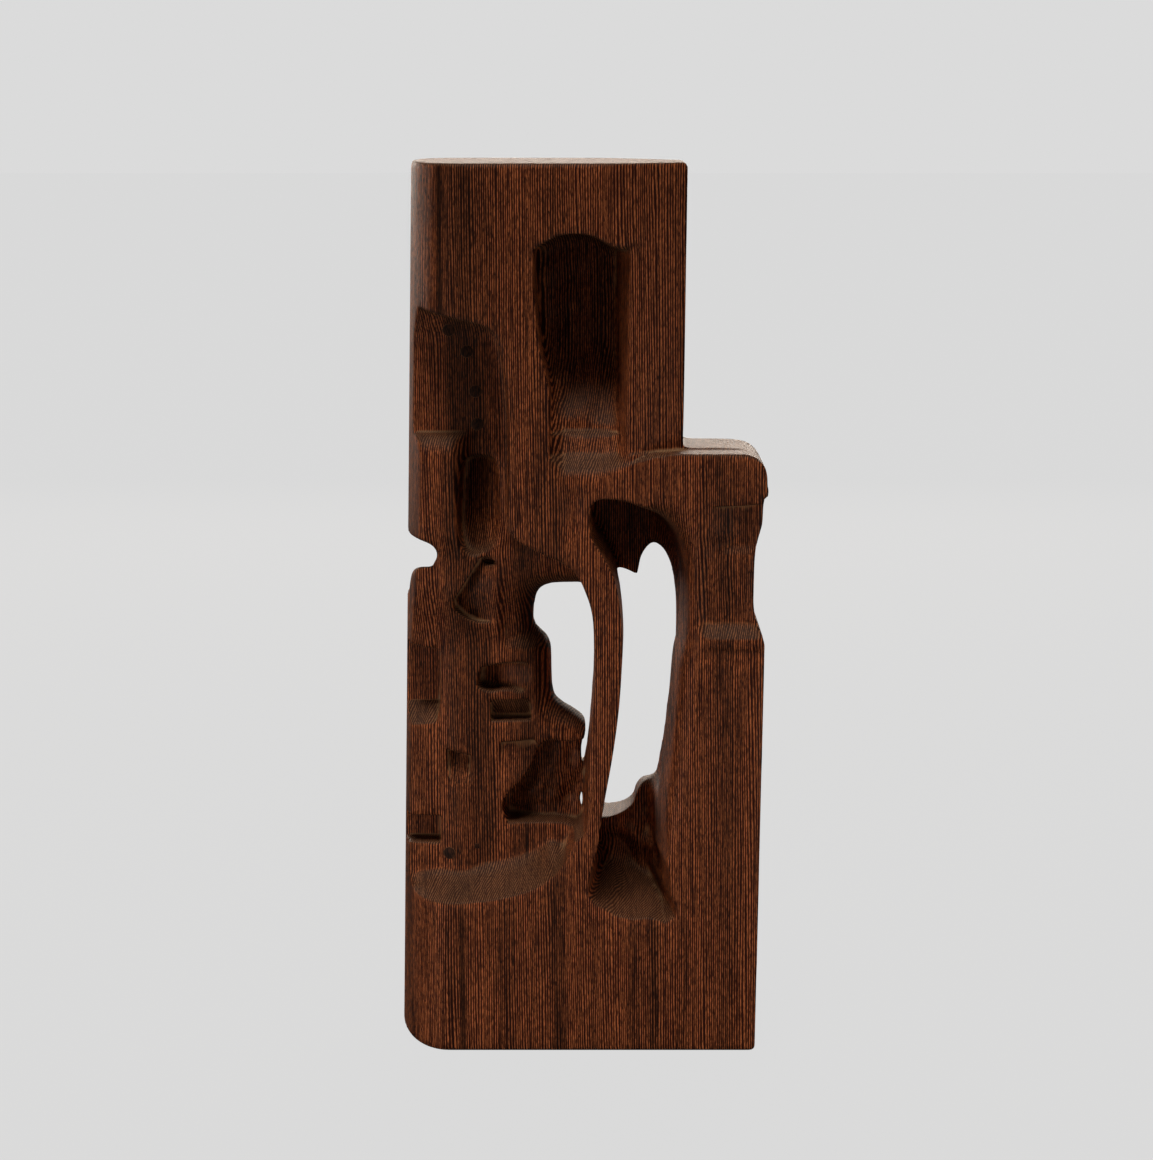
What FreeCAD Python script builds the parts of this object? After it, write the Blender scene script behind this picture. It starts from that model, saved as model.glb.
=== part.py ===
import FreeCAD, Part
import Sketcher
import math
import os

# Abstract carved sculpture: one upright block of dark wood, opened by carving, with six round
# end-grain plugs let into the faces of its left recess.
# Frame: +Z up, the front faces -Y, the origin is the middle of the underside.

# Driving dimensions, in mm
sizes = {
    "height": 432,
    "half_depth": 45.5,
    "base_left": -89.5,       # the left flank leans out towards the foot
    "crown_left": -80.8,
    "base_right": 86.5,
    "crown_right": 91.1,      # cut away above the arm, where the flank stands at 89.5
    "nose_width": 25.5,       # half-elliptical nose at the left of the plan
    "nose_depth": 52,
    "back_corner": 18,        # radius of the left corner at the back
    "back_turn": 5,           # where the back starts to come forward
    "back_step": 48,          # where it has come forward to the thin right part
    "thin_back": 8.5,         # y of the back of the thin right part
    "upper_recess_depth": 25,
    "panel_depth": 13,
    "lower_recess_depth": 22,
    "crescent_depth": 38,
    "groove_depth": 38,
    "pocket_depth": 36,
    "niche_depth": 37,
    "hollow_depth": 50,
    "side_recess_depth": 5,
    "strut_depth": 42,
    "arm_top": 297,
    "plug_radius": 3.15,
    "pin_radius": 1.5,
    "plug_length": 12,
    "glue_gap": 0.05,
}

# Carved outlines seen from the front, (x, z) in mm; column_setback is seen from above, (x, y). A
# third entry of "arc" marks a point that an arc passes through on its way from the point before
# it to the point after it.
outlines = {
    "shoulder": [(51, 445), (49.5, 300), (52, 297), (77, 297), (86, 294.3, "arc"), (89.5, 285),
                 (110, 285), (110, 445)],
    "right_flank": [(110, 275), (88.5, 274.5), (86.5, 270), (83.8, 252), (83.4, 230), (85, 217),
                    (89, 206), (110, 206)],
    "neck_notch": [(-110, 255), (-83, 253), (-73, 249), (-68.6, 244, "arc"), (-73, 238.5),
                   (-78, 237.4), (-82, 232, "arc"), (-83.5, 226), (-110, 226)],
    "upper_recess": [(-110, 365), (-76, 364), (-57, 359), (-46, 357), (-38.5, 351, "arc"), (-36, 339),
                     (-33.2, 302), (-110, 302)],
    "middle_recess": [(-60, 303), (-33, 303), (-34, 262), (-26, 251), (-9, 243.5), (3, 233),
                      (3, 225), (-60, 225)],
    "panel": [(-110, 303), (-59.5, 303), (-59.5, 225), (-110, 225)],
    "lower_recess": [(-110, 226), (1, 226), (6.9, 195, "arc"), (1.7, 133), (-1.2, 112), (-8, 94),
                     (-23, 82.5, "arc"), (-43.5, 76), (-68, 74), (-110, 78)],
    "crescent": [(-110, 98), (-66, 98), (-40, 108), (-1.2, 112), (-8, 94), (-23, 82.5, "arc"),
                 (-43.5, 76), (-68, 74), (-110, 78)],
    "groove": [(-57, 292), (-48, 295, "arc"), (-39, 287), (-38, 256), (-58, 254)],
    "wedge": [(-47.9, 243.3), (-40, 242), (-33.6, 212), (-48, 214.4), (-61, 221.3)],
    "mouth": [(-49.7, 185.8), (-47, 193.2), (-30, 195.2), (-28.2, 177.9), (-47, 177.9)],
    "slot": [(-50, 174), (-44.5, 165), (-23, 165), (-24, 174)],
    "side_pocket": [(-110, 201), (-66.6, 199.5), (-66.8, 174.7), (-69.3, 164.2), (-110, 160)],
    "foot_pocket": [(-110, 115.3), (-67.4, 115.3), (-67.4, 102), (-110, 104)],
    "scoop": [(-21.7, 152.4), (-24, 138), (-36.5, 126.5), (-36, 117), (-13, 112.6), (-6, 113),
              (-6, 152)],
    "left_opening": [(-17, 230), (-3, 230), (3.5, 220), (6.6, 195, "arc"), (3.5, 148), (3.5, 150),
                     (1, 157), (-8.5, 164.5), (-12.8, 171), (-13.8, 190), (-19, 203),
                     (-22.3, 212, "arc"), (-20, 222)],
    "right_opening": [(13.5, 238), (16.5, 233), (29, 229.5), (32, 239.5), (37.5, 243.9, "arc"),
                      (43.5, 238), (47.7, 209.6, "arc"), (45.5, 173.7), (39.7, 129.5),
                      (31.2, 121.7), (27.2, 111), (12.5, 103.3), (18.9, 172.9), (20.3, 203, "arc")],
    "hollow": [(4, 262), (6.5, 272), (13, 275, "arc"), (22, 273.5), (38.5, 266), (49, 250, "arc"),
               (53, 215), (50, 178), (44.8, 118), (47, 77), (41.8, 64.5), (20, 69), (9, 74),
               (5, 82, "arc"), (9.5, 113), (18.9, 172.9), (20.3, 205, "arc"), (13.5, 243)],
    "behind_strut": [(-6, 222), (22, 222), (22, 118), (-3, 130)],
    "niche": [(-21, 391), (-4, 399.8, "arc"), (14, 394), (29, 392), (24, 332), (22, 308),
              (-14.5, 304), (-15, 322)],
    "side_recess": [(56, 269), (110, 271), (110, 206), (56, 206)],
    "column_setback": [(4, -45.5), (30, -41.5, "arc"), (54, -29), (54, -60), (4, -60)],
}

# Each carving: its outline, the depth below the front plane where it starts, and how far it goes
# from there. An empty start is the front plane itself; an empty depth goes right through.
carvings = [
    ("shoulder", "", ""),
    ("right_flank", "", ""),
    ("neck_notch", "", ""),
    ("upper_recess", "", "upper_recess_depth"),
    ("middle_recess", "", "upper_recess_depth"),
    ("panel", "", "panel_depth"),
    ("lower_recess", "", "lower_recess_depth"),
    ("crescent", "", "crescent_depth"),
    ("groove", "", "groove_depth"),
    ("wedge", "", "pocket_depth"),
    ("mouth", "", "pocket_depth"),
    ("slot", "", "pocket_depth"),
    ("side_pocket", "", "pocket_depth"),
    ("foot_pocket", "", "pocket_depth"),
    ("scoop", "", "pocket_depth"),
    ("hollow", "", "hollow_depth"),
    ("niche", "", "niche_depth"),
    ("side_recess", "", "side_recess_depth"),
    ("left_opening", "", ""),
    ("right_opening", "", ""),
    ("behind_strut", "strut_depth", ""),
]

# Plugs: name, x, z, the recess face they are flush with, and their radius
plugs = [
    ("plug_upper_first", -62.2, 352.9, "upper_recess_depth", "plug_radius"),
    ("plug_upper_second", -53.8, 342.6, "upper_recess_depth", "plug_radius"),
    ("plug_upper_third", -49.8, 323.5, "upper_recess_depth", "plug_radius"),
    ("plug_upper_fourth", -48.9, 307.7, "upper_recess_depth", "plug_radius"),
    ("plug_lower", -64.3, 94.3, "crescent_depth", "plug_radius"),
    ("pin_lower", -50.5, 97.8, "crescent_depth", "pin_radius"),
]

doc = FreeCAD.newDocument("carved_sculpture")
sheet = doc.addObject("Spreadsheet::Sheet", "Sizes")


def fillSheet():
    """Writes every driving dimension and every outline point to the sheet, each with its alias."""
    cells = dict(sizes)
    for name, points in outlines.items():
        for number, point in enumerate(points):
            cells[f"{name}_across_{number}"] = point[0]
            cells[f"{name}_up_{number}"] = point[1]
    for name, across, up, face, radius in plugs:
        cells[f"{name}_across"] = across
        cells[f"{name}_up"] = up
    for row, (alias, value) in enumerate(cells.items(), start=1):
        sheet.set(f"A{row}", alias)
        sheet.set(f"B{row}", str(value))
        sheet.setAlias(f"B{row}", alias)
    doc.recompute()


def originPlane(body, role):
    return next(plane for plane in body.Origin.OriginFeatures if plane.Role == role)


def newSketch(body, name, role, lift):
    """A sketch on one of the body's own planes, lifted along its normal by a sheet expression."""
    sketch = body.newObject("Sketcher::SketchObject", name)
    sketch.AttachmentSupport = [(originPlane(body, role), "")]
    sketch.MapMode = "FlatFace"
    sketch.setExpression("AttachmentOffset.Base.z", lift)
    return sketch


def bindPoint(sketch, geometry, end, across, up):
    """Holds one point of the sketch at a place given by sheet expressions; None leaves it free."""
    where = sketch.getPoint(geometry, end)
    for kind, value, expression in (("DistanceX", where.x, across), ("DistanceY", where.y, up)):
        if expression:
            number = sketch.addConstraint(Sketcher.Constraint(kind, -1, 1, geometry, end, value))
            sketch.setExpression(f"Constraints[{number}]", expression)


def drawOutline(sketch, name):
    """Draws a named outline as lines and arcs, each point bound to its two cells."""
    points = outlines[name]
    corners = [number for number, point in enumerate(points) if len(point) == 2]
    edges = []
    for step, start in enumerate(corners):
        stop = corners[(step + 1) % len(corners)]
        through = (start + 1) % len(points)
        ends = [FreeCAD.Vector(points[number][0], points[number][1], 0) for number in (start, stop)]
        if through == stop:
            edges.append(sketch.addGeometry(Part.LineSegment(ends[0], ends[1]), False))
            firstEnd, lastEnd = 1, 2
        else:
            middle = FreeCAD.Vector(points[through][0], points[through][1], 0)
            arc = Part.Arc(ends[0], middle, ends[1])
            edges.append(sketch.addGeometry(arc, False))
            near = sketch.getPoint(edges[-1], 1).distanceToPoint(ends[0]) < 1e-6
            firstEnd, lastEnd = (1, 2) if near else (2, 1)
            mark = sketch.addGeometry(Part.Point(middle), True)
            bindPoint(sketch, mark, 1, f"Sizes.{name}_across_{through}", f"Sizes.{name}_up_{through}")
            sketch.addConstraint(Sketcher.Constraint("PointOnObject", mark, 1, edges[-1]))
        if step:
            sketch.addConstraint(Sketcher.Constraint("Coincident", edges[-2], previousEnd,
                                                     edges[-1], firstEnd))
        else:
            openingEnd = firstEnd
        bindPoint(sketch, edges[-1], firstEnd, f"Sizes.{name}_across_{start}",
                  f"Sizes.{name}_up_{start}")
        previousEnd = lastEnd
    sketch.addConstraint(Sketcher.Constraint("Coincident", edges[-1], previousEnd,
                                             edges[0], openingEnd))


def joinEnds(sketch, first, firstEnd, second, secondEnd):
    sketch.addConstraint(Sketcher.Constraint("Coincident", first, firstEnd, second, secondEnd))


def drawPlan(sketch, level):
    """The block's plan: flat front, half-elliptical nose at the left, thin part at the right."""
    left = sizes[f"{level}_left"]
    right = sizes[f"{level}_right"]
    half = sizes["half_depth"]
    corner = sizes["back_corner"]
    nose = FreeCAD.Vector(left + sizes["nose_width"], sizes["nose_depth"] - half, 0)
    spots = [
        (nose.x, -half, f"Sizes.{level}_left + Sizes.nose_width", "-Sizes.half_depth"),
        (right, -half, f"Sizes.{level}_right", "-Sizes.half_depth"),
        (right, sizes["thin_back"], f"Sizes.{level}_right", "Sizes.thin_back"),
        (sizes["back_step"], sizes["thin_back"], "Sizes.back_step", "Sizes.thin_back"),
        (sizes["back_turn"], half, "Sizes.back_turn", "Sizes.half_depth"),
        (left + corner, half, f"Sizes.{level}_left + Sizes.back_corner", "Sizes.half_depth"),
    ]
    lines = []
    for start, stop in zip(spots, spots[1:]):
        ends = [FreeCAD.Vector(spot[0], spot[1], 0) for spot in (start, stop)]
        lines.append(sketch.addGeometry(Part.LineSegment(*ends), False))
        if len(lines) > 1:
            joinEnds(sketch, lines[-2], 2, lines[-1], 1)
        bindPoint(sketch, lines[-1], 1, start[2], start[3])
    bindPoint(sketch, lines[-1], 2, spots[-1][2], spots[-1][3])

    flankEnds = [FreeCAD.Vector(left, half - corner, 0), FreeCAD.Vector(left, nose.y, 0)]
    flank = sketch.addGeometry(Part.LineSegment(*flankEnds), False)
    bindPoint(sketch, flank, 1, f"Sizes.{level}_left", "Sizes.half_depth - Sizes.back_corner")
    bindPoint(sketch, flank, 2, f"Sizes.{level}_left", "Sizes.nose_depth - Sizes.half_depth")

    centre = FreeCAD.Vector(left + corner, half - corner, 0)
    circle = Part.Circle(centre, FreeCAD.Vector(0, 0, 1), corner)
    turn = sketch.addGeometry(Part.ArcOfCircle(circle, math.pi / 2, math.pi), False)
    joinEnds(sketch, turn, 1, lines[-1], 2)
    joinEnds(sketch, turn, 2, flank, 1)
    bindPoint(sketch, turn, 3, None, "Sizes.half_depth - Sizes.back_corner")

    ellipse = Part.Ellipse(FreeCAD.Vector(nose.x, -half, 0), FreeCAD.Vector(left, nose.y, 0), nose)
    curve = sketch.addGeometry(Part.ArcOfEllipse(ellipse, 0, math.pi / 2), False)
    ends = [sketch.getPoint(curve, end) for end in (1, 2)]
    flankEnd = 1 if ends[0].distanceToPoint(flankEnds[1]) < ends[1].distanceToPoint(flankEnds[1]) else 2
    joinEnds(sketch, curve, flankEnd, flank, 2)
    joinEnds(sketch, curve, 3 - flankEnd, lines[0], 1)
    bindPoint(sketch, curve, 3, spots[0][2], "Sizes.nose_depth - Sizes.half_depth")


def frontSketch(body, name, start):
    """A sketch parallel to the front plane, at a depth named in the sheet, or at the front."""
    lift = f"Sizes.half_depth - Sizes.{start}" if start else "Sizes.half_depth"
    return newSketch(body, name, "XZ_Plane", f"({lift}) * 1 mm")


def addPocket(body, sketch, name, depth, reverse=False):
    """Cuts the sketch into the block, away from its normal, and checks that something was cut."""
    before = body.Shape.Volume
    pocket = body.newObject("PartDesign::Pocket", name)
    pocket.Profile = sketch
    pocket.Reversed = reverse
    if depth:
        pocket.Type = "Length"
        pocket.setExpression("Length", f"Sizes.{depth}")
    else:
        pocket.Type = "ThroughAll"
    doc.recompute()
    if not before - body.Shape.Volume > 1:
        raise RuntimeError(f"{name} cuts nothing")


def drawDisc(sketch, name, radius):
    """A circle at a plug's place, with its radius from a sheet expression."""
    across, up = next((plug[1], plug[2]) for plug in plugs if plug[0] == name)
    centre = FreeCAD.Vector(across, up, 0)
    disc = sketch.addGeometry(Part.Circle(centre, FreeCAD.Vector(0, 0, 1), sizes["plug_radius"]), False)
    bindPoint(sketch, disc, 3, f"Sizes.{name}_across", f"Sizes.{name}_up")
    number = sketch.addConstraint(Sketcher.Constraint("Radius", disc, sizes["plug_radius"]))
    sketch.setExpression(f"Constraints[{number}]", radius)


def setColumnBack(body):
    """Curves the front of the column above the arm back towards its right edge."""
    sketch = newSketch(body, "column_setback_outline", "XY_Plane", "Sizes.arm_top * 1 mm")
    drawOutline(sketch, "column_setback")
    doc.recompute()
    addPocket(body, sketch, "column_setback", "", reverse=True)


def buildBlock():
    """The block: lofted from its foot to its crown, then carved from the front and from above."""
    body = doc.addObject("PartDesign::Body", "carved_block")
    foot = newSketch(body, "foot_plan", "XY_Plane", "0 mm")
    drawPlan(foot, "base")
    crown = newSketch(body, "crown_plan", "XY_Plane", "Sizes.height * 1 mm")
    drawPlan(crown, "crown")
    doc.recompute()
    loft = body.newObject("PartDesign::AdditiveLoft", "block")
    loft.Profile = foot
    loft.Sections = [crown]
    loft.Ruled = True
    doc.recompute()
    for name, start, depth in carvings:
        sketch = frontSketch(body, f"{name}_outline", start)
        drawOutline(sketch, name)
        doc.recompute()
        addPocket(body, sketch, name, depth)
        if name == "neck_notch":
            setColumnBack(body)
    for name, across, up, face, radius in plugs:
        sketch = frontSketch(body, f"{name}_hole_outline", face)
        drawDisc(sketch, name, f"Sizes.{radius} + Sizes.glue_gap")
        doc.recompute()
        addPocket(body, sketch, f"{name}_hole", "plug_length")
    return body


def buildPlug(name, face, radius):
    """A round plug, its end grain flush with the recess face that it is let into."""
    body = doc.addObject("PartDesign::Body", name)
    sketch = frontSketch(body, f"{name}_disc", face)
    drawDisc(sketch, name, f"Sizes.{radius}")
    doc.recompute()
    pad = body.newObject("PartDesign::Pad", f"{name}_length")
    pad.Profile = sketch
    pad.Reversed = True
    pad.setExpression("Length", "Sizes.plug_length")
    doc.recompute()
    return body


def checkAndExport(bodies):
    """Stops if any object failed, then writes one STEP file for each sub-part."""
    doc.recompute()
    for item in doc.Objects:
        if "Invalid" in item.State or "Error" in item.State:
            raise RuntimeError(f"{item.Name} failed: {item.State}")
    os.makedirs("parts", exist_ok=True)
    for body in bodies:
        shape = body.Shape
        if shape.isNull() or not shape.isValid() or len(shape.Solids) != 1:
            raise RuntimeError(f"{body.Label} isn't one valid solid")
    for body in bodies:
        body.Shape.exportStep(f"parts/{body.Label}.step")
        print(f"{body.Label}: {body.Shape.Volume / 1000:.2f} cm3")


fillSheet()
block = buildBlock()
inlays = [buildPlug(name, face, radius) for name, across, up, face, radius in plugs]
checkAndExport([block] + inlays)
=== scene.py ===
import math

import bpy
import numpy as np
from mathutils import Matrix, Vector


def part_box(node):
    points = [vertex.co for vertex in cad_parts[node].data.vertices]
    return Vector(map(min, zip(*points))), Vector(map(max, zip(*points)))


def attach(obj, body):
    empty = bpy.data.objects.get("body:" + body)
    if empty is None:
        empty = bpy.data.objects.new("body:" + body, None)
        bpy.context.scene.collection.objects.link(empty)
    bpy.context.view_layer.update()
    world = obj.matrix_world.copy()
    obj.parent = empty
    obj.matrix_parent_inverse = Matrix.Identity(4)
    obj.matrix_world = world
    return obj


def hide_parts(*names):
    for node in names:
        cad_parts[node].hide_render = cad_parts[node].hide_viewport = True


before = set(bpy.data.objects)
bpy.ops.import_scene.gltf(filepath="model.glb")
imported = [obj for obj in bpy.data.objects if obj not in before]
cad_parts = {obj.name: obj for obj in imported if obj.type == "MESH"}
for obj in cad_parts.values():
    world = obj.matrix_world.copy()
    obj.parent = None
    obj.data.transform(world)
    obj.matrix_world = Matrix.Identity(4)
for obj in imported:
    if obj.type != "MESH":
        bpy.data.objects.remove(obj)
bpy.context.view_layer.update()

import openvdb

mm = 0.001

# Where the carved block lies, in mm, read from the frame
blockLow, blockHigh = (np.array(corner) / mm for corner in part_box("carved_block"))
height = blockHigh[2]
frontY = blockLow[1]
print("block", blockLow.round(1), blockHigh.round(1))


def ramp(value, low, high):                # 0 below low, 1 above high, smooth between
    part = np.clip((value - low) / (high - low), 0, 1)
    return part * part * (3 - 2 * part)


def softMax(first, second, width):         # the larger of two fields, rounded where they meet
    part = np.clip(0.5 + 0.5 * (first - second) / width, 0, 1)
    return second + (first - second) * part + width * part * (1 - part)


def lumps(across, up, seed, size):         # smooth hills about 1 high, from a few crossed waves
    draw = np.random.default_rng(seed)
    total = 0
    for wave in range(7):
        angle, phase = draw.uniform(0, 2 * math.pi, 2)
        length = size * draw.uniform(0.7, 1.6)
        total = total + np.sin((across * math.cos(angle) + up * math.sin(angle))
                               * 2 * math.pi / length + phase)
    return total / 2.6


# A closed loop through given points. Plain points are passed smoothly, on a cubic whose
# slope is half the chord between the neighbours; a point with a third entry is a sharp corner.
def closedLoop(points, steps=6):
    spots = np.array([point[:2] for point in points], dtype=float)
    sharp = np.array([len(point) > 2 for point in points])
    after, before = np.roll(spots, -1, 0), np.roll(spots, 1, 0)
    slope = np.where(sharp[:, None], 0, (after - before) / 2)
    nextSlope = np.roll(slope, -1, 0)
    part = np.arange(steps)[None, :, None] / steps
    curve = ((2 * part**3 - 3 * part**2 + 1) * spots[:, None]
             + (part**3 - 2 * part**2 + part) * slope[:, None]
             + (3 * part**2 - 2 * part**3) * after[:, None]
             + (part**3 - part**2) * nextSlope[:, None])
    return curve.reshape(-1, 2)


# Distance to the nearest edge of a loop, negative inside, at every point of a 2-D grid
def loopDistance(loop, across, up):
    start, stop = loop, np.roll(loop, -1, 0)
    edgeA, edgeB = (stop - start).T
    wayA = across[..., None] - start[:, 0]
    wayB = up[..., None] - start[:, 1]
    along = np.clip((wayA * edgeA + wayB * edgeB) / np.maximum(edgeA**2 + edgeB**2, 1e-9), 0, 1)
    nearest = np.sqrt(((wayA - along * edgeA)**2 + (wayB - along * edgeB)**2).min(-1))
    spans = (start[:, 1] > up[..., None]) != (stop[:, 1] > up[..., None])
    safeB = np.where(np.abs(edgeB) < 1e-9, 1e-9, edgeB)
    crosses = spans & (wayA < wayB * edgeA / safeB)
    return np.where(crosses.sum(-1) % 2 == 1, -nearest, nearest)


# The block is a field of signed distances on a grid, in mm: negative in the wood, positive in
# the air. Each carving is a field of its own, and is taken away with a rounded lip.

grid = {
    "cell": 1.1,    # mm between grid points
    "adaptivity": 0.006,                   # how far flat stretches are merged into larger faces
    "margin": 4,                           # mm of air around the block
}

axes = [np.arange(low - grid["margin"], high + grid["margin"] + grid["cell"], grid["cell"])
        for low, high in zip(blockLow, blockHigh)]
gridX, gridZ = np.meshgrid(axes[0], axes[2], indexing="ij")      # the front plane's grid
across, up = gridX[:, None, :], gridZ[:, None, :]
depth = (axes[1] - frontY)[None, :, None]                # mm behind the front plane
print("grid", [len(axis) for axis in axes])

plan = {
    "baseLeft": -89.5, "crownLeft": -80.8,     # the left flank leans out to the foot
    "baseRight": 86.5, "crownRight": 91.1,
    "noseWidth": 25.5, "noseDepth": 52,        # half-elliptical nose at the left
    "rim": 2.2,                                # rounding at the foot and the crown
    "strutDepth": 43,                          # thickness of the strut, front to back
}


# Seen from above: a flat front, a half-elliptical nose at the left, a back that comes forward
# to the right. The outline is stretched sideways from foot to crown to follow both flanks.
def blockField():
    left, right = plan["baseLeft"], plan["baseRight"]
    turn = np.linspace(0, math.pi / 2, 10)[:, None]
    nose = np.hstack([left + plan["noseWidth"] * (1 - np.sin(turn)),
                      plan["noseDepth"] * (1 - np.cos(turn))])
    backLeft = [(left, 62), (left + 3, 78), (left + 11, 87.5), (left + 24, 91)]
    back = [(-30, 91), (-4, 90.6), (10, 87), (24, 77), (36, 65.5), (46, 57.5), (56, 54.6),
            (72, 54), (82, 53.6), (85.6, 52), (right, 48)]
    front = [(right, 4), (right - 0.8, 1.2), (right - 2.8, 0, 0), (left + plan["noseWidth"], 0, 0)]
    loop = closedLoop([tuple(spot) for spot in nose[1:]] + backLeft + back + front, 4)
    spread = np.arange(axes[0][0] - 8, axes[0][-1] + 8, 0.5)
    table = loopDistance(loop, *np.meshgrid(spread, axes[1] - frontY, indexing="ij"))
    level = gridZ / height
    flankLeft = left + (plan["crownLeft"] - left) * level
    flankRight = right + (plan["crownRight"] - right) * level
    source = left + (gridX - flankLeft) * (right - left) / (flankRight - flankLeft)
    place = np.clip((source - spread[0]) / 0.5, 0, len(spread) - 1.001)
    lower = place.astype(int)
    part = (place - lower)[..., None]
    field = table[lower] * (1 - part) + table[lower + 1] * part
    field = field.transpose(0, 2, 1)
    return softMax(field, np.abs(up - height / 2) - height / 2, plan["rim"])


rightThrough = 200        # a floor so deep that the cut goes right through
saddleTop = 305           # where the saddle ends and the niche's bowl starts


# Takes a carving out of the wood. The carving is what lies inside its outline and in front of
# its floor; lip rounds its edge, drift narrows it as it goes deeper, cove rounds its inner corner.
def carve(field, distance, floor, lip, drift=0.02, cove=2.0):
    floor, lip, drift = (value[:, None, :] if np.ndim(value) == 2 else value
                         for value in (floor, lip, drift))
    cutter = softMax(distance[:, None, :] + drift * depth, depth - floor, cove)
    return softMax(field, -cutter, lip)


def outlineDistance(points):
    return loopDistance(closedLoop(points), gridX, gridZ)


# The same outline carried back at a slope: it drops by fall mm for each mm of depth past start
def slopingDistance(points, start, fall):
    table = outlineDistance(points)
    result = np.empty((len(axes[0]), len(axes[1]), len(axes[2])), np.float32)
    for row, deep in enumerate(axes[1] - frontY):
        place = np.arange(len(axes[2])) + fall * (deep - start) / grid["cell"]
        place = np.clip(place, 0, len(axes[2]) - 1.001)
        lower = place.astype(int)
        part = place - lower
        result[:, row] = table[:, lower] * (1 - part) + table[:, lower + 1] * part
    return result


# Outlines seen from the front, (x, z) in mm
outerCuts = {
    "shoulder": [(50.9, 460, 0), (49.8, 330), (49.4, 301), (50.2, 298, 0), (54, 297.2), (66, 297.2),
                 (76, 296.8), (82.5, 295.2), (87, 291.2), (89.3, 286), (89.8, 281.5, 0), (120, 280, 0),
                 (120, 460, 0)],
    "right flank": [(120, 274.8, 0), (89.6, 275.2), (88, 273.4), (87.5, 270), (87, 262), (85.2, 255),
                    (83.6, 247), (83.3, 232), (83.5, 222), (85, 214.5), (87.4, 209.5), (88.8, 206.4, 0),
                    (120, 206, 0)],
    "neck notch": [(-120, 257, 0), (-83.5, 253.8, 0), (-81.5, 253.1), (-76.5, 251.9), (-71.8, 249.9),
                   (-69.3, 247.3), (-68.6, 244.4), (-69.6, 241.6), (-72.5, 240), (-76.4, 239.4),
                   (-79.4, 237.4), (-81.6, 234.2), (-82.9, 229), (-83.6, 224, 0), (-120, 224, 0)],
}

leftRecess = [(-120, 372, 0), (-82, 366, 0), (-76, 364.5), (-66, 362.2), (-56, 359.8), (-47, 357.6),
              (-41, 354.4), (-38, 349.2), (-36, 340), (-34, 326), (-33.2, 311), (-33.2, 290),
              (-33.9, 270), (-33.6, 262), (-30.5, 256), (-25, 252.2), (-16.4, 248), (-9.3, 245),
              (-3.6, 240.8), (0.4, 235.6), (3.6, 227.6), (5.9, 217), (6.9, 202.4), (6.9, 187.7),
              (6, 172.9), (4.1, 150.6), (1.7, 133.2), (-1.2, 113.1), (-3.6, 104), (-7, 96.6),
              (-12, 90.2), (-19.2, 84.4), (-29, 80.4), (-43.6, 77.2), (-56, 75.8), (-68, 75.2),
              (-77, 72), (-86, 66), (-120, 50, 0)]

# the stepped edge that the left opening shares with the void behind it
steppedEdge = [(-16.8, 227), (-20.2, 223.9), (-21.8, 218.7), (-21.8, 209.5), (-19, 205.2),
               (-16.2, 202.4), (-14.1, 196.5), (-13.6, 181), (-12.4, 172.3), (-8.4, 168), (-2.2, 164),
               (1.9, 160.2)]

leftOpening = steppedEdge + [(3.0, 155.4), (1.8, 150.5), (0.9, 144.4), (1.6, 136), (4.2, 150.6),
                             (6.1, 172.9), (7, 187.7), (7, 202.4), (6, 217), (3.7, 226), (1.2, 228.6),
                             (-4, 228.8), (-11.4, 228.5)]

backVoid = steppedEdge + [(3.3, 155.4), (2.7, 150.5), (2.2, 146.4), (5, 138), (6, 131), (3, 125.4),
                          (-0.4, 121.6), (-1.2, 117.2), (0.6, 113), (5, 106.6), (12.5, 103.4),
                          (18.1, 104.4), (23.2, 107), (27.2, 111.2), (29.2, 117.3), (32.2, 121.5),
                          (35.8, 123.3), (38.8, 126.4), (40.4, 135), (42.7, 150.4), (44.3, 165.9),
                          (46.1, 177), (47.4, 189), (47.8, 209), (47.2, 222.3), (45.6, 232.3),
                          (43, 238.9), (40, 242.4), (36.6, 243.7), (33.1, 241.2), (30.6, 236.9),
                          (29.4, 231.5), (28.7, 228.3, 0), (23.7, 230.8), (18.7, 232.1), (10, 231.4),
                          (0, 229), (-11.4, 228.4)]

hollow = [(4.6, 262), (4.9, 269.4), (7.4, 273.8), (12.5, 275), (22, 273.8), (31.5, 270.3),
          (38.5, 267.4), (44.4, 262.6), (49.4, 255.4), (52.2, 246), (53.3, 226.7), (52.3, 207.3),
          (50, 195), (48.6, 177.8), (46.9, 158), (45, 138), (43, 118.1), (43.4, 98), (45.2, 80),
          (45.6, 70), (42, 64, 0), (37.3, 66.2), (32, 67.6), (26.6, 68.2), (20.2, 69.8), (13.4, 72.2),
          (7.6, 74.8), (5.3, 80), (5.3, 87), (7.5, 98), (9.9, 113.1), (12.3, 128.2), (16.1, 150.6),
          (18.9, 172.9), (20.3, 195), (20.3, 209.7), (18.8, 225.3), (16.4, 236.4), (13.5, 242.7),
          (9.7, 249.5), (6.2, 255)]

niche = [(-21.2, 391.9), (-18.8, 394.2), (-14.6, 396.5), (-9.5, 398.8), (-3.5, 399.7), (2.5, 399.3),
         (7.6, 397.9), (12.6, 395.1), (17.4, 393), (22, 392.5), (26.6, 393), (29.6, 393.4, 0),
         (28.3, 383), (26.4, 369), (24.7, 350.6), (23.3, 331.8), (22.6, 312), (23.5, 299, 0), (15, 292),
         (0, 289), (-14.4, 294, 0), (-14.2, 321.5), (-16, 334.6), (-18.8, 345.9), (-20.4, 360.8),
         (-21.6, 378.5)]


# The column above the arm: its front curves back to the right edge
def setColumnBack(field):
    setback = 18 * np.clip((across - 2) / 49, 0, 1)**1.8 - 1
    region = softMax(depth - setback, 296.6 - up, 0.6)
    return softMax(field, -region, 1.0)


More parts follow.
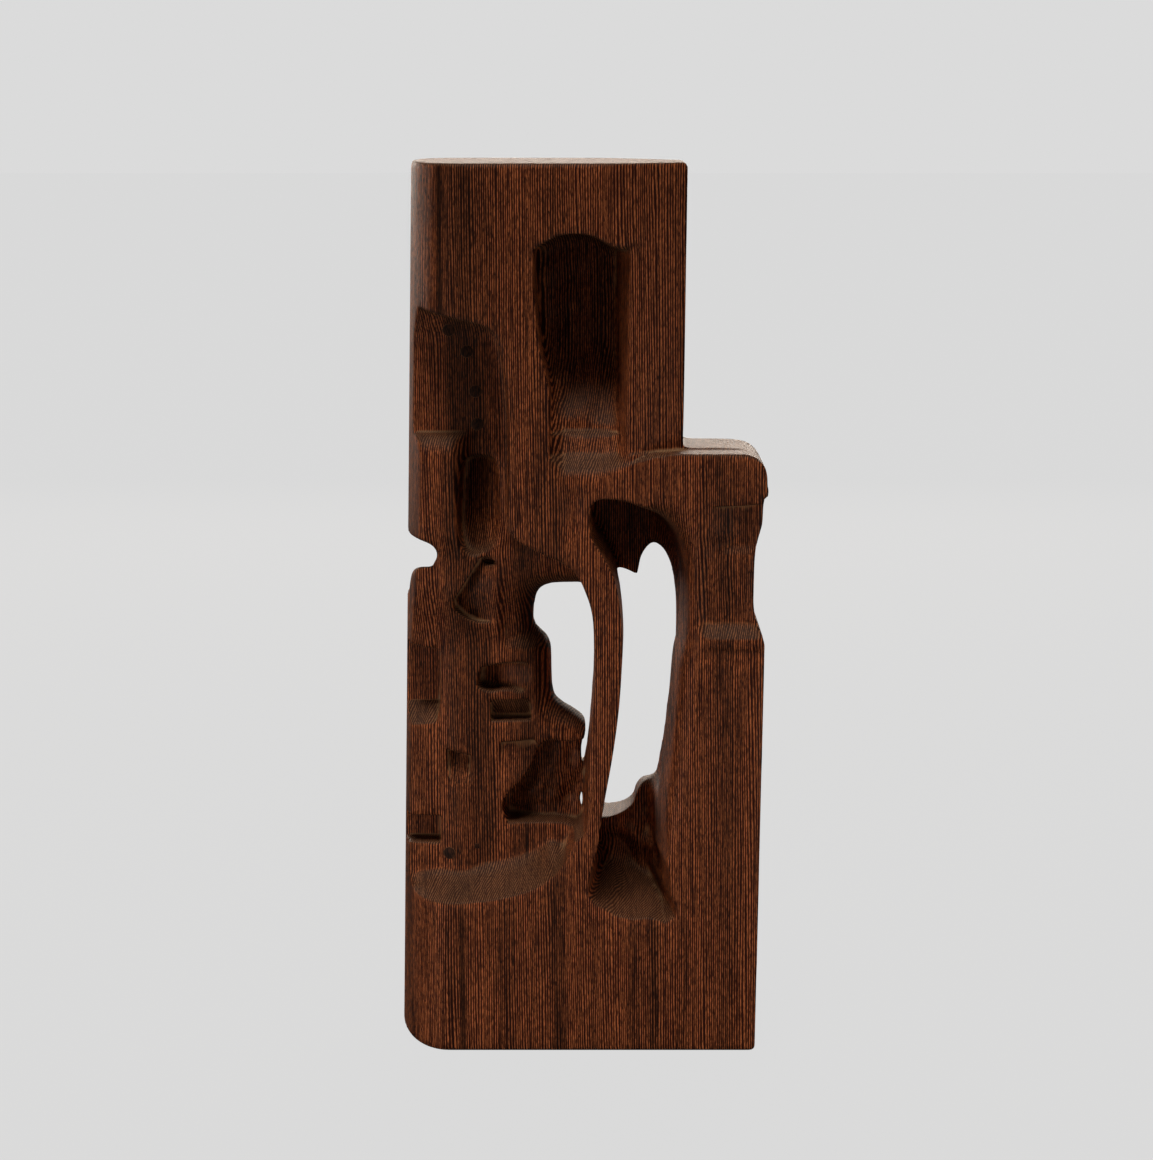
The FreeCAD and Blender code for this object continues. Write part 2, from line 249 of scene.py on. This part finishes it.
# Depth of the left recess: deepest under its top edge, a raised panel at mid height, and below
# the neck a face that rounds off into the left opening and ends in a chamfer on the crescent.
def leftRecessFloor():
    post = 13.5 + 4.5 * ramp(-gridZ, -262, -236) + 7 * ramp(-gridZ, -236, -196)
    beside = ramp(gridX, -62, -51) * ramp(gridZ, 226, 268)
    middle = post + (25 - post) * beside
    top = 25.5 - 5 * ramp(gridZ, 347, 364)
    bend = np.clip((gridZ - 290) / 14, 0, 1)              # the panel's top rolls back to the wall
    floor = middle + (top - middle) * (1 - np.sqrt(1 - bend * bend))
    upperStep = 5 * ramp(gridX, -41, -35) * ramp(gridZ, 195, 206) * (1 - ramp(gridZ, 226, 250))
    turn = np.clip(15 - outlineDistance(leftOpening), 0, 14.9)
    rounding = (15 - np.sqrt(225 - turn**2)) * ramp(gridZ, 150, 166) * (1 - ramp(gridZ, 224, 240))
    ridge = 2.2 * np.exp(-((gridX + 58) / 7.5)**2) * (1 - ramp(gridZ, 225, 250))
    crease = np.interp(gridX, [-84, -60, -39, -23, -8, 5], [80.3, 83.6, 86.5, 90.9, 94.8, 100])
    chamfer = 22.5 + 0.62 * np.maximum(gridZ - crease, 0)
    return np.minimum(floor + upperStep + rounding - ridge, chamfer)


# Shoulder, right flank and the bite in the left flank, which drops a little towards the back
def cutOutside(field):
    for name, points in outerCuts.items():
        neck = name == "neck notch"
        cut = slopingDistance(points, 26, 0.09 if neck else 0)
        field = softMax(field, -cut, 1.0 if neck else 2.6)
    return setColumnBack(field)


# The left recess with the opening through it. Behind the strut a void, wider towards the back,
# joins both openings. The knob under the bite gets a sloping top, the scoop a thin slit.
def cutLeft(field, face):
    slant = 0.03 + 0.36 * (1 - ramp(gridZ, 96, 116)) * (1 - ramp(gridX, -16, -6))     # crescent's edge
    field = carve(field, outlineDistance(leftRecess), face, lip=0.8, drift=slant, cove=3.5)
    field = carve(field, outlineDistance(leftOpening), rightThrough, lip=1.6, drift=0)
    widen = 0.5 * np.maximum(depth - 34, 0) * (1 - ramp(across, -6, 8))
    behind = softMax(outlineDistance(backVoid)[:, None, :] - widen,
                     plan["strutDepth"] - depth - 0.4 * widen, 5)
    field = softMax(field, -behind, 2)
    knobTop = softMax(240.5 - 0.22 * (depth - 14) - up, np.maximum(up - 247, across + 70.5), 1.5)
    field = softMax(field, -knobTop, 1.5)
    slit = np.hypot((gridX - 0.8) / 0.65, (gridZ - 118) / 4)[:, None, :] * 2 - 2
    return softMax(field, -slit, 0.8)


# The right hollow: its right edge rolls over softly, its bottom is left in gouge cuts
def cutHollow(field):
    slant = 0.03 + 0.1 * ramp(gridX, 22, 44) * ramp(gridZ, 70, 90) + 0.13 * (1 - ramp(gridZ, 80, 100))
    softLip = 1.0 + 11 * ramp(gridX, 26, 44) * ramp(gridZ, 90, 130)
    floor = 56 - 9 * ramp(gridX, 33, 48)                # thinner wood towards the right
    facets = 3.0 * lumps(gridX, gridZ, 3, 21) + 1.4 * lumps(gridX, gridZ, 4, 9)
    facets = facets * (1 - ramp(gridZ, 96, 112))
    return carve(field, outlineDistance(hollow) + 0.35 * facets, floor + facets, softLip,
                 drift=slant, cove=6)


# The niche runs out below in a bowl, then over a saddle onto the arm's top. Heights of the
# saddle's front edge (brow) and back edge (crest) rise to the right.
def cutNiche(field):
    brow = 287 + 9.4 * ramp(gridX, 4, 44)
    crest = 295 + 2.4 * ramp(gridX, 4, 44)
    armTop = 10 * np.clip((gridZ - brow) / (crest - brow), 0, 1)
    armTop = armTop + 0.4 * np.clip(gridZ - crest, 0, saddleTop - crest)
    bowl = np.clip((349 - gridZ) / 44, 0, 1)
    floor = np.where(gridZ < saddleTop, armTop, 37.5 - 21.5 * bowl**1.6)
    column = 18 * np.clip((gridX - 2) / 49, 0, 1)**1.8 - 2.5       # just in front of the column
    floor = floor + (np.minimum(floor, column) - floor) * ramp(gridX, 17, 25)
    floor = floor + 0.5 * lumps(gridX, gridZ, 8, 16) * ramp(gridZ, 300, 312)
    slant = 0.03 + 0.04 * ramp(gridX, -2, 24)
    softLip = 0.8 + 6 * ramp(gridX, 14, 28)
    field = carve(field, outlineDistance(niche), floor, softLip, drift=slant, cove=9)
    away = 8 * (1 - ramp(gridX, -17, -7)) + np.clip(brow - gridZ, 0, 8)     # keeps it off the front
    saddle = softMax(depth - (floor * ramp(gridX, -17, -7) - away)[:, None, :], up - saddleTop, 1)
    saddle = softMax(saddle, across - 49, 1)
    field = softMax(field, -saddle, 1.2 + 6 * (1 - ramp(across, 0, 30)))
    dip = 6 * np.exp(-((gridX + 3) / 9)**2 - ((gridZ - 268) / 19)**2)[:, None, :] - 3
    return softMax(field, dip - depth, 2)


# Pockets and facets; each floor is a depth behind the front plane, in mm
def smallCarvings(face):
    scoopFloor = (44 - 6 * ramp(gridX, -36, -18) - 3 * ramp(gridZ, 118, 140)
                  + 0.9 * lumps(gridX, gridZ, 5, 15) + 0.4 * lumps(gridX, gridZ, 6, 7))
    flankDepth = np.clip((gridZ - 206.4) * 0.9, 0, 7)
    flankDepth = flankDepth - 3 * ramp(gridZ, 212, 245) + 3 * ramp(gridZ, 246.5, 254)
    flare = ramp(gridZ, 240, 262)             # the flank's recess runs out slanting at its top
    flankFloor = flankDepth * ramp(gridX, 49 + 7 * flare, 62 + 18 * flare) - 0.5
    return {
        "groove": {"outline": [(-57.8, 288), (-54.6, 292.6), (-48, 293.8), (-41, 292.4), (-38, 286),
                               (-37.2, 272), (-37.4, 258), (-41, 249), (-50, 244), (-57, 247),
                               (-59.6, 258), (-59.4, 273)],
                   "floor": 40 - 0.6 * (gridX + 58) - 9 * (1 - ramp(gridZ, 238, 266)),
                   "drift": 0.06, "cove": 3.5, "lip": 2.6},
        "wedge": {"outline": [(-48.3, 243.8, 0), (-61.8, 221.6, 0), (-61, 218, 0), (-53.3, 211.8),
                              (-43.5, 210.3), (-32, 210.6), (-22, 213), (-18, 232), (-30, 243)],
                  "floor": np.maximum(face + 11 - 0.55 * (gridX + 60), face), "cove": 1.2, "lip": 0.5},
        "slit": {"outline": [(-46.8, 242.2), (-43, 242.8), (-40, 241.2), (-41, 239.6), (-46, 239.9)],
                 "floor": face + 9, "lip": 0.4},
        "mouth": {"outline": [(-51.2, 183), (-49.4, 188.4), (-44, 190.4), (-30.8, 192.2), (-23.5, 191),
                              (-21.5, 182), (-27, 174), (-35.4, 175.4), (-43.8, 174.4), (-51, 177.4)],
                  "floor": np.maximum(face + 17 - 0.6 * (gridX + 50), face - 1),
                  "drift": 0.06, "cove": 3.5, "lip": 0.6},
        "slot": {"outline": [(-44.6, 173, 0), (-44.2, 160.4, 0), (-22.8, 161.2, 0), (-23.6, 173, 0)],
                 "floor": face + np.clip((172.6 - gridZ) * 0.95, -2, 9.5), "cove": 0.8, "lip": 0.4},
        "small pocket": {"outline": [(-65.8, 147.6, 0), (-53, 144.4, 0), (-53.4, 127, 0), (-65, 127, 0)],
                         "floor": face + np.clip((gridZ - 127) * 0.36, -2, 8), "cove": 0.8, "lip": 0.4},
        "step": {"outline": [(-39.4, 150.6, 0), (-22, 152.2, 0), (-14, 140, 0), (-20, 128, 0),
                             (-39.6, 131, 0)],
                 "floor": face + np.clip((gridZ - 132) * 0.14, 0, 3) + 0.3 * ramp(gridX, -32, -20),
                 "cove": 1, "lip": 0.4},
        "notch upper": {"outline": [(-120, 202, 0), (-84, 200.2), (-76, 198.6), (-67.2, 197.2, 0),
                                    (-67.4, 172.3), (-69.6, 160.4, 0), (-84, 157.4, 0), (-120, 156, 0)],
                        "floor": np.minimum(39, face + np.clip((gridZ - 159.2) * 1.5, -2, 30)),
                        "cove": 1.0, "lip": 0.5},
        "notch lower": {"outline": [(-120, 113.6, 0), (-68.1, 113.4, 0), (-67.9, 98.6, 0),
                                    (-84, 99.2, 0), (-120, 99, 0)],
                        "floor": face + 12, "cove": 0.8, "lip": 0.4},
        "scoop": {"outline": [(-18, 151), (-24, 139), (-26.8, 134.6), (-29.4, 131), (-34, 126.8),
                              (-37.8, 121.8), (-39, 117), (-37.2, 111), (-35.6, 108.4, 0), (-12.6, 109),
                              (-2.7, 107.6, 0), (3, 112), (4, 130), (4, 150), (-6, 151.4)],
                  "floor": scoopFloor, "drift": 0.03, "cove": 2, "lip": 0.6},
        "right recess": {"outline": [(57, 271.4), (70, 271.6), (120, 274.6, 0), (120, 206.4, 0),
                                     (88.1, 207, 0), (72, 206.6), (53, 206.6, 0), (52, 232), (53, 255)],
                         "floor": flankFloor, "cove": 0.8, "lip": 0.7},
        "seam": {"outline": [(46, 206, 0), (120, 205, 0), (120, 186, 0), (84, 192, 0), (62, 195.6),
                             (48, 199.4, 0)],
                 "floor": 1.3 * np.clip((gridZ - 190) / 9, 0, 1) * (1 - ramp(gridZ, 200, 206)) - 0.3,
                 "cove": 0.6, "lip": 0.4},
    }


def buildField():
    field = cutOutside(blockField().astype(np.float32))
    print("outer shape cut")
    face = leftRecessFloor()
    field = cutHollow(cutLeft(field, face))
    print("openings cut")
    field = cutNiche(field)
    print("niche cut")
    for work in smallCarvings(face).values():
        outline = work.pop("outline")
        field = carve(field, outlineDistance(outline), **work)
    print("small carvings cut")
    return field


# Closed surface of the field, with larger faces where it is nearly flat
def surfaceMesh(field):
    band = 3 * grid["cell"]
    volume = openvdb.FloatGrid(background=band)
    volume.copyFromArray(np.clip(field, -band, band).astype(np.float32))
    points, triangles, quads = volume.convertToPolygons(0.0, grid["adaptivity"])
    origin = np.array([axis[0] for axis in axes])
    return points * grid["cell"] + origin, [*triangles[:, ::-1], *quads[:, ::-1]]


def newObject(name, points, faces, material):
    mesh = bpy.data.meshes.new(name)
    mesh.from_pydata((points * mm).astype(np.float32), [], faces)
    mesh.polygons.foreach_set("use_smooth", np.ones(len(faces), bool))
    mesh.update()
    piece = bpy.data.objects.new(name, mesh)
    bpy.context.scene.collection.objects.link(piece)
    mesh.materials.append(material)
    return piece


def hexColour(code):                       # sRGB hex to linear
    parts = [int(code[place:place + 2], 16) / 255 for place in (0, 2, 4)]
    return [part / 12.92 if part < 0.04045 else ((part + 0.055) / 1.055)**2.4 for part in parts] + [1]


# Adds one node with its settings and links; a setting whose name is an input goes to that socket
def addNode(tree, kind, links=None, **settings):
    node = tree.nodes.new("ShaderNode" + kind)
    for name, value in settings.items():
        socket = name.replace("_", " ")
        if hasattr(node, name):
            setattr(node, name, value)
        else:
            node.inputs[socket].default_value = value
    for socket, source in (links or {}).items():
        tree.links.new(source, node.inputs[socket])
    return node


def newMaterial(name):
    material = bpy.data.materials.new(name)
    material.use_nodes = True
    tree = material.node_tree
    tree.nodes.clear()
    shader = addNode(tree, "BsdfPrincipled")
    addNode(tree, "OutputMaterial", {"Surface": shader.outputs["BSDF"]})
    return material, tree, shader


def blend(tree, part, first, second):
    node = addNode(tree, "Mix", data_type="RGBA")
    for socket, source in ((node.inputs[0], part), (node.inputs[6], first), (node.inputs[7], second)):
        if isinstance(source, (int, float, list)):
            socket.default_value = source
        else:
            tree.links.new(source, socket)
    return node.outputs[2]


def number(tree, kind, first, second=None, third=None):
    node = addNode(tree, "Math", operation=kind)
    for socket, source in zip(node.inputs, (first, second, third)):
        if isinstance(source, (int, float)):
            socket.default_value = source
        elif source is not None:
            tree.links.new(source, socket)
    return node.outputs[0]


def remap(tree, value, low, high, toLow=0.0, toHigh=1.0):
    node = addNode(tree, "MapRange", {"Value": value}, interpolation_type="SMOOTHSTEP")
    for place, amount in enumerate((low, high, toLow, toHigh)):
        node.inputs[place + 1].default_value = amount
    return node.outputs[0]


wenge = {
    "dark": "1f0802",         # late wood between the light lines
    "middle": "3a130a",       # the same in the paler bands
    "light": "de8250",        # the light parenchyma lines
    "pore": "190500",         # pores and veins
    "paintedEdgeHighlight": "a98a66",         # painted highlight on the arrises, where the edges catch the light
    "endDark": "3a2114",      # end grain, between the lines
    "endLightSheen": "7c5a40",     # end grain, on the lines, made paler as painted sheen
    "linePitch": 1.05,        # mm between light lines, as on the real wood
    "turn": 18,               # degrees from the front to straight across the growth rings
    "veins": ((-61.4, 352, 440), (-57.3, -10, 74)),     # mm: where across, from and to which height
    "roughness": 0.52,
}


# Oiled wenge, hand carved and sanded: fine straight light lines over dark brown, broken into
# dashes where pores cross them, with broad darker bands. It gives the eye upright threads on
# every side face and paler, dull end grain on the faces that look up, made paler still by
# painted sheen, with painted highlights along the arrises.
def wengeMaterial():
    material, tree, shader = newMaterial("oiled wenge, carved and sanded")
    place = addNode(tree, "TexCoord").outputs["Object"]
    lean = (0, math.radians(0.7), math.radians(wenge["turn"]))

    # stretched noise: it is scaled before it is turned, so it stays in line with the block
    def grain(scale, **settings):
        mapping = addNode(tree, "Mapping", {"Vector": place}, Scale=scale, Rotation=lean)
        return addNode(tree, "TexNoise", {"Vector": mapping.outputs[0]}, **settings)

    pitch = 1000 / wenge["linePitch"]
    # scales are counts per metre, so each noise is finest from side to side and longest upwards
    wander = grain((90, 30, 4), Scale=1, Detail=2.0, Roughness=0.5).outputs[0]
    uneven = grain((pitch * 2.4, pitch * 0.1, pitch * 0.03), Scale=1, Detail=1.0, Roughness=0.5).outputs[0]
    fine = grain((pitch * 3.0, pitch * 0.9, pitch * 0.35), Scale=1, Detail=1.0, Roughness=0.6).outputs[0]
    dashes = grain((pitch * 3.2, pitch * 1.7, pitch * 0.3), Scale=1, Detail=1.0, Roughness=0.5).outputs[0]
    bands = grain((60, 22, 1.2), Scale=1, Detail=2.0, Roughness=0.5).outputs[0]

    # lines: a wave across the growth rings whose phase wanders, mixed with uneven threads
    leaning = addNode(tree, "Mapping", {"Vector": place}, Rotation=lean)
    sideways = addNode(tree, "SeparateXYZ", {"Vector": leaning.outputs[0]}).outputs["X"]
    phase = number(tree, "ADD", number(tree, "MULTIPLY", sideways, 2 * math.pi * pitch),
                   number(tree, "MULTIPLY", wander, 34.0))
    wave = number(tree, "MULTIPLY_ADD", number(tree, "SINE", phase), 0.5, 0.5)
    lines = number(tree, "ADD", number(tree, "MULTIPLY", wave, 0.4), number(tree, "MULTIPLY", uneven, 0.75))
    light = remap(tree, lines, 0.53, 0.73)
    light = number(tree, "MULTIPLY", light, remap(tree, fine, 0.4, 0.6, 0.4, 1.1))
    base = blend(tree, remap(tree, bands, 0.3, 0.6), hexColour(wenge["dark"]), hexColour(wenge["middle"]))
    lightPart = number(tree, "MULTIPLY", light, remap(tree, bands, 0.3, 0.55, 0.5, 1.0))
    colour = blend(tree, lightPart, base, hexColour(wenge["light"]))
    pores = remap(tree, dashes, 0.56, 0.66)
    colour = blend(tree, number(tree, "MULTIPLY", pores, 0.75), colour, hexColour(wenge["pore"]))

    # narrow dark veins, each over a part of the height
    level = addNode(tree, "SeparateXYZ", {"Vector": place}).outputs["Z"]
    turn = math.radians(wenge["turn"])
    for spot, low, high in wenge["veins"]:
        start = (spot * math.cos(turn) - frontY * math.sin(turn)) * mm
        off = number(tree, "ADD", sideways, number(tree, "MULTIPLY_ADD", wander, 0.005, -0.0025 - start))
        off = number(tree, "ABSOLUTE", off)
        span = number(tree, "MULTIPLY", remap(tree, level, (low - 9) * mm, (low + 9) * mm),
                      remap(tree, level, (high - 9) * mm, (high + 9) * mm, 1, 0))
        vein = number(tree, "MULTIPLY", remap(tree, off, 0.0008, 0.0024, 0.7, 0), span)
        colour = blend(tree, vein, colour, hexColour(wenge["pore"]))

    # painted highlight on the arrises: convex edges are made lighter where they would catch the light
    paintedEdgeHighlight = remap(tree, addNode(tree, "NewGeometry").outputs["Pointiness"], 0.515, 0.56)
    colour = blend(tree, number(tree, "MULTIPLY", paintedEdgeHighlight, 0.3), colour, hexColour(wenge["light"]))

    # end grain, where the carved face looks up or down the tree: duller and smoother, and paler, partly its
    # own colour and partly painted sheen
    normal = addNode(tree, "NewGeometry").outputs["Normal"]
    upright = addNode(tree, "SeparateXYZ", {"Vector": normal}).outputs["Z"]
    endGrainAndSheen = remap(tree, number(tree, "ABSOLUTE", upright), 0.2, 0.8)
    endGrainSheenColour = blend(tree, light, hexColour(wenge["endDark"]), hexColour(wenge["endLightSheen"]))
    colour = blend(tree, number(tree, "MULTIPLY", endGrainAndSheen, 0.85), colour, endGrainSheenColour)

    # painted highlight on the arrises, in a pale grey-brown
    colour = blend(tree, number(tree, "MULTIPLY", paintedEdgeHighlight, 0.5), colour, hexColour(wenge["paintedEdgeHighlight"]))

    tree.links.new(colour, shader.inputs["Base Color"])
    rough = remap(tree, fine, 0.3, 0.7, wenge["roughness"] - 0.06, wenge["roughness"] + 0.1)
    rough = number(tree, "ADD", rough, number(tree, "MULTIPLY", endGrainAndSheen, 0.12))
    tree.links.new(rough, shader.inputs["Roughness"])
    relief = number(tree, "SUBTRACT", number(tree, "MULTIPLY", lines, 0.6),
                    number(tree, "MULTIPLY", pores, 0.5))
    relief = number(tree, "MULTIPLY", relief, number(tree, "MULTIPLY_ADD", endGrainAndSheen, -0.75, 1))
    bump = addNode(tree, "Bump", {"Height": relief}, Strength=0.35, Distance=0.0006)
    tree.links.new(bump.outputs[0], shader.inputs["Normal"])
    shader.inputs["Specular IOR Level"].default_value = 0.2
    return material


field = buildField()
points, faces = surfaceMesh(field)
print("surface", len(points), "points", len(faces), "faces")
sculpture = newObject("carved_sculpture", points, faces, wengeMaterial())
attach(sculpture, "root")
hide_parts("carved_block")
print("carved block made")

plugs = {
    "rings": [0.35, 0.65, 0.88, 0.96, 1.0, 1.0],        # parts of the radius, from the middle out
    "proud": [0.22, 0.2, 0.16, 0.1, 0.0, -4.0],         # mm before the wood's surface at each ring
    "glue": [0, 0, 0.1, 1, 0.6, 0],                     # how much of the glue's colour each ring has
    "crown": 0.02,                                      # mm that the middle is above the first ring
    "steps": 40,                                        # points round each ring
}


# Depth of the carved surface behind the front plane, at points (x, z): the first place going
# back where the field turns to wood
def surfaceDepth(spotsX, spotsZ):
    placeX = (spotsX - axes[0][0]) / grid["cell"]
    placeZ = (spotsZ - axes[2][0]) / grid["cell"]
    lowX, lowZ = placeX.astype(int), placeZ.astype(int)
    partX, partZ = placeX - lowX, placeZ - lowZ
    found = 0
    for stepX, weightX in ((0, 1 - partX), (1, partX)):
        for stepZ, weightZ in ((0, 1 - partZ), (1, partZ)):
            lines = field[lowX + stepX, :, lowZ + stepZ]
            first = (lines < 0).argmax(1)
            rows = np.arange(len(lines))
            near, far = lines[rows, first - 1], lines[rows, first]
            found = found + (first - 1 + near / (near - far)) * weightX * weightZ
    return axes[1][0] - frontY + found * grid["cell"]


# End of a glued-in dowel: dark, with short fine lines half a millimetre wide and a lighter glue
# ring. It gives the eye a round dot at which the block's own lines stop.
def dowelMaterial():
    material, tree, shader = newMaterial("oiled dowel end grain, sanded flush")
    place = addNode(tree, "TexCoord").outputs["Object"]
    mapping = addNode(tree, "Mapping", {"Vector": place}, Scale=(2100, 300, 400),
                      Rotation=(0, math.radians(38), 0))
    hatch = addNode(tree, "TexNoise", {"Vector": mapping.outputs[0]}, Scale=1, Detail=1.0).outputs[0]
    colour = blend(tree, remap(tree, hatch, 0.42, 0.62), hexColour("1a0904"), hexColour("4c2b1b"))
    ring = addNode(tree, "Attribute", attribute_name="rim").outputs["Fac"]
    colour = blend(tree, ring, colour, hexColour("6e4a32"))
    tree.links.new(colour, shader.inputs["Base Color"])
    shader.inputs["Roughness"].default_value = 0.55
    shader.inputs["Specular IOR Level"].default_value = 0.2
    bump = addNode(tree, "Bump", {"Height": hatch}, Strength=0.4, Distance=0.0004)
    tree.links.new(bump.outputs[0], shader.inputs["Normal"])
    return material


# A plug's face follows the carved surface, 0.2 mm proud with an eased rim; its last ring is the
# end inside the wood. Its place and radius are those of its node in the frame.
def addPlug(name, node, material):
    low, high = (np.array(corner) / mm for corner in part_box(node))
    spot = ((low + high) / 2)[[0, 2]]
    radius = (high[0] - low[0]) / 2
    turn = np.linspace(0, 2 * math.pi, plugs["steps"], endpoint=False)
    rings, proud = np.array(plugs["rings"]), np.array(plugs["proud"])
    ringX = spot[0] + radius * rings[:, None] * np.cos(turn)
    ringZ = spot[1] + radius * rings[:, None] * np.sin(turn)
    deep = surfaceDepth(ringX.ravel(), ringZ.ravel()).reshape(ringX.shape) - proud[:, None]
    deep[-1] = deep[-1].max()
    verts = np.stack([ringX, deep + frontY, ringZ], -1).reshape(-1, 3)
    centreY = np.array([deep[0].mean() - plugs["crown"], deep[-1, 0]]) + frontY
    verts = np.concatenate([verts, [[spot[0], deepY, spot[1]] for deepY in centreY]])
    count = plugs["steps"]
    here = np.arange(count)
    following = np.roll(here, -1)
    level = np.arange(len(rings) - 1)[:, None] * count
    sides = np.stack([here + level, following + level, following + level + count, here + level + count], -1)
    front, back = np.full(count, len(verts) - 2), np.full(count, len(verts) - 1)
    last = (len(rings) - 1) * count
    ends = [*np.stack([front, following, here], 1), *np.stack([back, last + here, last + following], 1)]
    piece = newObject(name, verts, [*sides.reshape(-1, 4), *ends], material)
    rim = piece.data.attributes.new("rim", "FLOAT", "POINT")
    shade = np.append(np.repeat(plugs["glue"], count), [0, 0])
    rim.data.foreach_set("value", shade.astype(np.float32))
    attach(piece, "root")
    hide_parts(node)


dowel = dowelMaterial()
for name in ("upper_first", "upper_second", "upper_third", "upper_fourth", "lower"):
    addPlug("dowel_" + name, "plug_" + name, dowel)
addPlug("thin_pin", "pin_lower", dowel)
print("plugs made")


camera = {
    "distance": 1.2134,       # from the front plane, level
    "height": 0.4707,
    "side": -0.00145,
    "pitch": 10.928,          # degrees below level
    "lens": 80.69,            # mm, on a sensor 36 mm wide
}

eye = bpy.data.objects.new("camera", bpy.data.cameras.new("camera"))
bpy.context.scene.collection.objects.link(eye)
eye.location = (camera["side"], frontY * mm - camera["distance"], camera["height"])
eye.rotation_euler = (math.radians(90 - camera["pitch"]), 0, 0)
eye.data.lens = camera["lens"]
eye.data.sensor_width = 36
bpy.context.scene.camera = eye

studio = {
    "backdrop": "dbdbdb",     # floor and surroundings
    "lampColour": "fff1e2",
    "ambient": 0.03,          # what the object sees of the room away from the lamps
}

world = bpy.data.worlds.new("studio")
bpy.context.scene.world = world
world.use_nodes = True
sky = world.node_tree
seen = addNode(sky, "Background", Color=hexColour(studio["backdrop"]), Strength=1.0)
dim = addNode(sky, "Background", Color=hexColour("ffffff"), Strength=studio["ambient"])
cameraRay = addNode(sky, "LightPath").outputs["Is Camera Ray"]
mixed = addNode(sky, "MixShader", {"Fac": cameraRay})
sky.links.new(dim.outputs[0], mixed.inputs[1])
sky.links.new(seen.outputs[0], mixed.inputs[2])
sky.links.new(mixed.outputs[0], sky.nodes["World Output"].inputs["Surface"])


# Matt paper lit evenly: almost all of it is its own even glow, so that the surroundings look
# seamless
def paperMaterial():
    material, tree, shader = newMaterial("matt white paper sweep")
    shader.inputs["Base Color"].default_value = [0.01, 0.01, 0.01, 1]
    shader.inputs["Roughness"].default_value = 1
    shader.inputs["Specular IOR Level"].default_value = 0
    shader.inputs["Emission Color"].default_value = hexColour(studio["backdrop"])
    shader.inputs["Emission Strength"].default_value = 0.98
    return material


floorMesh = bpy.data.meshes.new("floor")
floorMesh.from_pydata([(-12, -12, 0), (12, -12, 0), (12, 12, 0), (-12, 12, 0)], [], [(0, 1, 2, 3)])
floorMesh.materials.append(paperMaterial())
floor = bpy.data.objects.new("floor", floorMesh)
bpy.context.scene.collection.objects.link(floor)
floor.visible_diffuse = False              # its glow doesn't light the carving from below
floor.visible_glossy = False


def addLamp(name, place, aim, size, power):
    lamp = bpy.data.objects.new(name, bpy.data.lights.new(name, "AREA"))
    bpy.context.scene.collection.objects.link(lamp)
    lamp.data.shape = "RECTANGLE"
    lamp.data.size, lamp.data.size_y = size
    lamp.data.energy = power
    lamp.location = place
    lamp.visible_camera = False
    lamp.data.color = hexColour(studio["lampColour"])[:3]
    way = np.array(aim) - np.array(place)
    tilt = math.acos(-way[2] / np.linalg.norm(way))
    lamp.rotation_euler = (tilt, 0, math.atan2(way[1], way[0]) - math.pi / 2)


addLamp("soft box above", (-0.25, -1.1, 4.2), (0, 0, 0.2), (1.3, 1.2), 94)
addLamp("soft box back", (0.0, 1.7, 0.66), (0, 0, 0.4), (1.7, 0.55), 42)
addLamp("soft box left", (-1.2, 1.3, 0.6), (0, 0, 0.25), (0.4, 1.0), 5)
addLamp("soft box low", (-0.05, -0.5, 0.03), (0, 0, 0.05), (0.9, 0.25), 0.2)
for side, power in ((-1, 1.15), (1, 0.85)):
    addLamp("soft box side", (0.58 * side, -0.42, 0.04), (0, -0.05, 0.04), (0.3, 0.25), power)
bpy.context.scene.view_settings.view_transform = "Standard"
